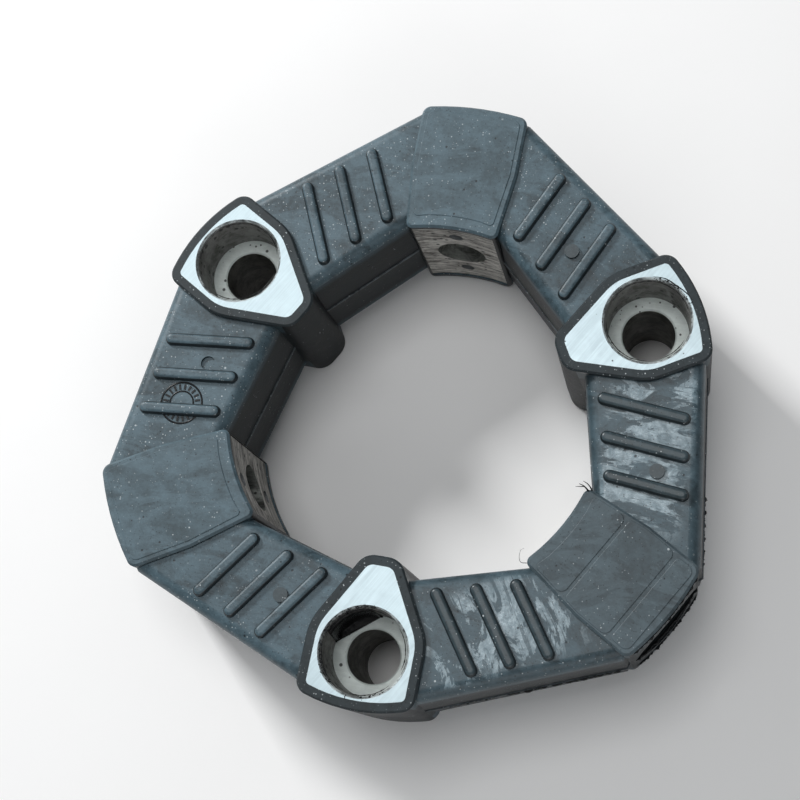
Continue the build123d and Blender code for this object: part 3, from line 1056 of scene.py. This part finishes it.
    def build_fins(self) -> None:
        """Adds the torn flash along walls near the third radial block."""
        block = Place(330)
        spread = math.asin(9.6 / RING.block_radius)
        lines: dict[str, tuple[list[Vector], list[Vector], float, int]] = {}
        for number, (height, reach) in enumerate(((16.2, 0.75), (30.4, 0.4), (5.0, 0.6)), 1):
            arms = [spoke(spread * (step / 45 - 1)) for step in range(91)]
            base = [block.point(*(RING.block_radius * arm.xy), height) for arm in arms]
            out = [(block.matrix() @ arm).normalized() for arm in arms]
            lines[f"block_flash_{number}"] = (base, out, reach, 3 + number)
        walls = (
            ("column_flash_1", 300, (58.6, -3.0), (61.9, 21.0), 0.7, 11),
            ("column_flash_2", 300, (57.0, -14.5), (58.4, -4.0), 0.45, 12),
            ("column_flash_3", 0, (61.6, -20.0), (59.6, -5.0), 0.55, 13),
        )
        for name, azimuth, start, end, reach, seed in walls:
            place = Place(azimuth)
            first, last = Vector((*start, 0)), Vector((*end, 0))
            normal = (last - first).normalized().cross(Vector((0, 0, 1)))
            if normal.x < 0:
                normal.negate()
            points = [first.lerp(last, step / 80) for step in range(81)]
            base = [place.point(point.x + 0.2, point.y, RING.middle + 0.1) for point in points]
            out = [place.matrix() @ normal] * len(points)
            lines[name] = (base, out, reach, seed)
        inner = Place(240)
        points = [Vector((34.6, 7.0, 0)).lerp(Vector((32.6, 13.0, 0)), step / 50)
                  for step in range(51)]
        base = [inner.point(point.x - 0.55, point.y, RING.middle) for point in points]
        out = [inner.matrix() @ Vector((-1, -0.25, 0)).normalized()] * 51
        lines["column_flash_4"] = (base, out, 0.6, 17)
        for name, (base, out, reach, seed) in lines.items():
            add_piece(name, ragged_fin(base, out, reach, seed), BLACK_FLASH_AND_PAINTED_SHADE)

    def build(self) -> None:
        """Dresses the ring and adds its small details."""
        dress("rubber_body", self.finish_at)
        self.build_plates()
        self.build_stamp()
        self.build_strands()
        self.build_fins()


@dataclass
class AxialInsert:
    """One axial insert, with the finishes of its screw seat.

    Args:
        number: 1 to 3.
        azimuth: Its place round the ring.
        seat_depth: Depth of the screw's seat.
        seat_radius: Its radius at the floor.
        mouth_radius: Its radius at the mouth.
        mouth_depth: Height of the broken edge at the mouth.
        floor_depth: Height of the floor's own broken edge.
    """

    number: int
    azimuth: float
    seat_depth: float = 10.7
    seat_radius: float = 8.35
    mouth_radius: float = 8.75
    mouth_depth: float = 0.41
    floor_depth: float = 0.31

    def finish_at(self, centre: Vector, normal: Vector, _height: float) -> MetalFinish:
        """Finish of the insert at a face."""
        local = Place(self.azimuth).local(centre * MM)
        radius = math.hypot(local.x - RING.bolt_circle, local.y)
        floor = RING.thickness - self.seat_depth
        if abs(normal.z) > 0.99 and (centre.z > RING.thickness - 0.01 or centre.z < 0.01):
            return FACE
        if radius > self.mouth_radius + 0.6:
            return INSERT_SIDE
        if centre.z > RING.thickness - self.mouth_depth:
            return MOUTH
        # Seat wall: painted shade. Seat floor below it: painted light.
        if centre.z > floor + 0.01:
            return SEAT_WALL_PAINTED_SHADE
        if centre.z > floor - self.floor_depth and abs(normal.z) > 0.3:
            return SEAT_FLOOR_PAINTED_LIGHT
        # The through hole's wall: painted shade.
        return HOLE_WALL_PAINTED_SHADE

    def build(self) -> None:
        """Dresses the insert."""
        dress(f"axial_insert_{self.number}", self.finish_at)

    def polar(self, radius: float, angle: float, height: float) -> Vector:
        """Point round the screw's axis, in metres; the angle in degrees from own X."""
        x = RING.bolt_circle + radius * math.cos(math.radians(angle))
        y = radius * math.sin(math.radians(angle))
        return Place(self.azimuth).point(x, y, height)

    def build_smear(self, start: float, end: float, reach: float, name: str) -> None:
        """Adds black rubber flash on the seat's floor, with a black sheet that climbs its wall.

        Args:
            start: First angle round the screw, in degrees.
            end: Last angle.
            reach: How far up the wall it goes.
            name: Name of the piece.
        """
        floor = RING.thickness - self.seat_depth
        steps = 40
        first = self.polar(self.seat_radius, start, floor)
        last = self.polar(self.seat_radius, end, floor)
        up = Vector((0, 0, MM))
        mesh = bmesh.new()
        rows = []
        for step in range(steps + 1):
            share = step / steps
            angle = start + (end - start) * share
            chord = first.lerp(last, share)
            foot = self.polar(self.seat_radius - 0.05, angle, floor)
            swell = math.sin(math.pi * share)
            wobble = 0.5 + 0.5 * noise.noise(Vector((step * 0.37, 2.0, self.number)))
            climb = reach * min(1.0, 3 * swell) * (0.75 + 0.35 * wobble)
            wall_radius = self.seat_radius + 0.4 * climb / self.seat_depth - 0.06
            row = [chord + up * 0.02, chord + up * (0.25 + 0.2 * swell)]
            for part in range(1, 6):
                bump = 0.28 * noise.noise(Vector((step * 0.4, part * 1.3, 4.0)))
                row.append(chord.lerp(foot, part / 6) + up * (0.45 + 0.5 * swell + bump))
            row.append(self.polar(self.seat_radius - 0.45, angle, floor + 1.1))
            row.append(self.polar(wall_radius - 0.22, angle, floor + climb * 0.6))
            row.append(self.polar(wall_radius - 0.05, angle, floor + climb))
            row.append(self.polar(self.seat_radius + 0.1, angle, floor + climb * 0.5))
            row.append(foot - up * 0.02)
            rows.append([mesh.verts.new(point) for point in row])
        skin(mesh, rows)
        add_piece(name, mesh, SMEAR)

    def build_mouth_shadow_line(self) -> None:
        """Adds a broken dark line along the edge of the seat's mouth: thin near-black tubes,
        painted shadow of the mouth's lip.
        """
        chance = random.Random(70 + self.number)
        mesh = bmesh.new()
        for course, drop, thick, arcs in ((self.seat_radius + 0.02, 0.40, 0.12, 5),
                                          (self.mouth_radius + 0.04, 0.01, 0.06, 5)):
            for arc in range(arcs):
                start = arc * 360 / arcs + chance.uniform(-25, 25)
                sweep = chance.uniform(35, 85)
                steps = int(sweep / 3)
                path, radii = [], []
                for step in range(steps + 1):
                    angle = start + sweep * step / steps
                    stray = noise.noise(Vector((angle * 0.09, self.number, drop)))
                    path.append(self.polar(course + 0.08 * stray, angle, RING.thickness - drop))
                    swell = max(0.3, 0.7 + noise.noise(Vector((angle * 0.2, self.number, 6.0))))
                    taper = min(1.0, 0.2 + 4 * step / steps, 0.2 + 4 * (1 - step / steps))
                    radii.append(thick * MM * swell * taper)
                absorb(mesh, tube(path, radii, 6))
        # Near-black tubes: painted shadow at the mouth's edges.
        add_piece(f"mouth_shadow_line_{self.number}", mesh, BLACK_FLASH_AND_PAINTED_SHADE)

    def build_hair(self, name: str, points: tuple[tuple[float, float], ...],
                   radius: float) -> None:
        """Adds a hair of flash that lies on the upper face.

        Args:
            name: Name of the piece.
            points: Its course in the insert's own frame, in millimetres.
            radius: Its radius in the middle, in millimetres.
        """
        place = Place(self.azimuth)
        path = smooth_path([place.point(x, y, RING.thickness + 0.03) for x, y in points])
        count = len(path) - 1
        radii = [radius * MM * (0.25 + math.sin(math.pi * step / count)) for step in
                 range(count + 1)]
        add_piece(name, tube(path, radii), BLACK_FLASH_AND_PAINTED_SHADE)

    def build_split(self, offset: float) -> None:
        """Adds the hairline split across the thin lip outside the seat.

        Args:
            offset: Its place along own Y, in millimetres.
        """
        place = Place(self.azimuth)
        start = RING.bolt_circle + math.sqrt(self.mouth_radius ** 2 - offset ** 2) + 0.1
        points = [place.point(start + share * 0.95, offset + 0.12 * math.sin(share * 9),
                              RING.thickness - 0.02) for share in (0, 0.25, 0.5, 0.75, 1.0)]
        add_piece(f"lip_split_{self.number}", tube(points, [0.09 * MM] * 5), BLACK_FLASH_AND_PAINTED_SHADE)

    def build_crumbs(self, name: str, start: float, end: float, count: int,
                     course: float) -> None:
        """Adds black crumbs torn along the mouth of the seat.

        Args:
            name: Name of the piece.
            start: First angle round the screw, in degrees.
            end: Last angle.
            count: How many.
            course: Middle radius of the line that they follow, in millimetres.
        """
        chance = random.Random(count)
        mesh = bmesh.new()
        for _ in range(count):
            angle = chance.uniform(start, end)
            radius = course + max(-0.25, min(0.6, chance.gauss(0.0, 0.25)))
            centre = self.polar(radius, angle, RING.thickness - chance.uniform(0.0, 0.12))
            size = chance.uniform(0.06, 0.17) * MM
            stretch = Matrix.Diagonal((chance.uniform(0.7, 2.4), chance.uniform(0.6, 1.1), 0.55, 1))
            turn = Matrix.Rotation(math.radians(self.azimuth + angle + 90), 4, "Z")
            matrix = Matrix.Translation(centre) @ turn @ stretch
            made = bmesh.ops.create_icosphere(mesh, subdivisions=2, radius=size, matrix=matrix)
            for vertex in made["verts"]:
                push = noise.noise_vector(vertex.co * 3000) * size * 0.5
                vertex.co += push
        add_piece(name, mesh, BLACK_FLASH_AND_PAINTED_SHADE)


@dataclass
class RadialInsert:
    """One radial insert, with its machined hub face.

    Args:
        number: 1 to 3.
        azimuth: Its place round the ring.
        face_radius: Radius within which the concave face lies.
        hole_radius: Radius of the hole for the hub's screw.
    """

    number: int
    azimuth: float
    face_radius: float = 39.0
    hole_radius: float = 5.25

    def finish_at(self, centre: Vector, normal: Vector, _height: float) -> MetalFinish:
        """Finish of the insert at a face."""
        place = Place(self.azimuth)
        local = place.local(centre * MM)
        facing = place.matrix().inverted() @ normal
        if facing.x < -0.9 and local.x < self.face_radius + 0.3:
            return hub_face_finish(self.azimuth)
        if math.hypot(local.y, local.z - RING.middle) < self.hole_radius + 0.1:
            return RADIAL_HOLE
        return INSERT_SIDE

    def build(self) -> None:
        """Dresses the insert."""
        dress(f"radial_insert_{self.number}", self.finish_at)


@dataclass(frozen=True)
class Lamp:
    """One square soft lamp that points at the ring.

    Args:
        name: Its name.
        place: Where it hangs, in metres.
        size: Length of its sides, in metres.
        power: Its power in watts.
    """

    name: str
    place: tuple[float, float, float]
    size: float
    power: float

    def build(self) -> None:
        """Adds the lamp."""
        data = bpy.data.lights.new(self.name, "AREA")
        data.size = self.size
        data.energy = self.power
        lamp = bpy.data.objects.new(self.name, data)
        lamp.location = self.place
        aim = Vector((0, 0, 0.02)) - Vector(self.place)
        lamp.rotation_euler = aim.to_track_quat("-Z", "Y").to_euler()
        bpy.context.scene.collection.objects.link(lamp)


@dataclass
class Studio:
    """Pale floor, soft light and the camera.

    Args:
        floor_size: Length of the floor's sides, in metres.
        floor_drop: How far the floor lies below the ring, in metres.
        floor_shade: Colour of the floor for light that the camera doesn't see.
        lamps: The lamps.
        world_light: Strength of the world's light on the ring.
        backdrop: Strength of the world as the camera sees it.
        lens: Focal length of the camera, in millimetres.
        shift: Shift of its lens, as shares of the sensor.
        eye: Where it stands, in metres.
        target: What it looks at, in metres.
        roll: Its turn about its own axis, in degrees.
    """

    floor_size: float = 4.0
    floor_drop: float = 0.0001
    floor_shade: Colour = (0.34, 0.33, 0.32)
    lamps: tuple[Lamp, ...] = (
        Lamp("key_lamp", (-0.70, 0.50, 0.55), 0.18, 8.4),
        Lamp("top_lamp", (-0.13, 0.17, 1.0), 0.5, 2.9),
        Lamp("fill_lamp", (0.30, -0.65, 0.40), 0.5, 1.2),
    )
    world_light: float = 0.19
    backdrop: float = 0.93
    lens: float = 69.4
    shift: tuple[float, float] = (-0.1102, 0.0395)
    eye: tuple[float, float, float] = (0.06575, -0.06692, 0.32888)
    target: tuple[float, float, float] = (0.01588, -0.00273, 0.032)
    roll: float = -11.126

    def build_floor(self) -> None:
        """Adds the floor."""
        bpy.ops.mesh.primitive_plane_add(size=self.floor_size, location=(0, 0, -self.floor_drop))
        floor = bpy.context.object
        floor.name = "studio_floor"
        surface = Surface("floor")
        cloud = surface.effect(Effect.MOTTLE, surface.vector, Scale=6.0, Contrast=0.0)
        colour = surface.graph.blend(cloud, (0.955, 0.955, 0.95), (0.985, 0.985, 0.98))
        path = surface.graph.node("ShaderNodeLightPath").outputs
        seen = surface.graph.math("MAXIMUM", path["Is Camera Ray"], path["Is Glossy Ray"])
        seen = surface.graph.math("MAXIMUM", seen, path["Is Transmission Ray"])
        colour = surface.graph.blend(seen, self.floor_shade, colour)
        surface.plug("Base Color", colour)
        surface.plug("Roughness", 0.7)
        floor.data.materials.append(surface.material)

    def build_light(self) -> None:
        """Adds the lamps and the world."""
        for lamp in self.lamps:
            lamp.build()
        world = bpy.data.worlds.new("studio_world")
        world.use_nodes = True
        graph = Graph(world.node_tree)
        seen = graph.node("ShaderNodeLightPath").outputs["Is Camera Ray"]
        background = world.node_tree.nodes["Background"]
        background.inputs[0].default_value = (0.93, 0.96, 1.0, 1.0)
        world.node_tree.links.new(graph.ramp(seen, 0.0, 1.0, self.world_light, self.backdrop),
                                  background.inputs[1])
        bpy.context.scene.world = world

    def build_camera(self) -> None:
        """Adds the camera, looking down on the ring from one side."""
        data = bpy.data.cameras.new("camera")
        data.lens = self.lens
        data.sensor_width = 36.0
        data.shift_x, data.shift_y = self.shift
        data.clip_start, data.clip_end = 0.01, 20.0
        camera = bpy.data.objects.new("camera", data)
        eye, target = Vector(self.eye), Vector(self.target)
        forward = (target - eye).normalized()
        level = (Vector((0, 1, 0)) - forward * forward.y).normalized()
        sideways = forward.cross(level)
        angle = math.radians(self.roll)
        up = level * math.cos(angle) + sideways * math.sin(angle)
        right = forward.cross(up)
        turn = Matrix((right, up, -forward)).transposed()
        camera.matrix_world = Matrix.Translation(eye) @ turn.to_4x4()
        bpy.context.scene.collection.objects.link(camera)
        bpy.context.scene.camera = camera

    def build(self) -> None:
        """Sets up the whole studio."""
        self.build_floor()
        self.build_light()
        self.build_camera()
        bpy.context.scene.view_settings.view_transform = "Standard"


def main() -> None:
    """Builds the ring's pieces in order, then the studio."""
    logging.basicConfig(level=logging.INFO, format="%(name)s: %(message)s")
    noise.seed_set(NOISE_SEED)
    RubberRing().build()
    inserts = [AxialInsert(number, azimuth)
               for number, azimuth in enumerate(RING.axial_azimuths, 1)]
    for insert in inserts:
        insert.build()
        insert.build_mouth_shadow_line()
    inserts[0].build_crumbs("seat_crumbs_1", 8.0, 62.0, 46, 8.9)
    inserts[0].build_split(0.3)
    inserts[0].build_hair("face_hair_1", ((54.2, 8.3), (56.4, 6.9), (57.9, 4.8), (59.2, 2.6),
                                          (59.9, 0.6)), 0.11)
    inserts[2].build_smear(178.0, 260.0, 9.9, "seat_smear_3")
    inserts[2].build_split(-1.7)
    inserts[2].build_crumbs("seat_crumbs_3", 175.0, 325.0, 170, 8.62)
    inserts[2].build_crumbs("lip_crumbs_3", 5.0, 40.0, 14, 8.8)
    for number, azimuth in enumerate(RING.radial_azimuths, 1):
        RadialInsert(number, azimuth).build()
    Studio().build()


if __name__ == "__main__":
    main()
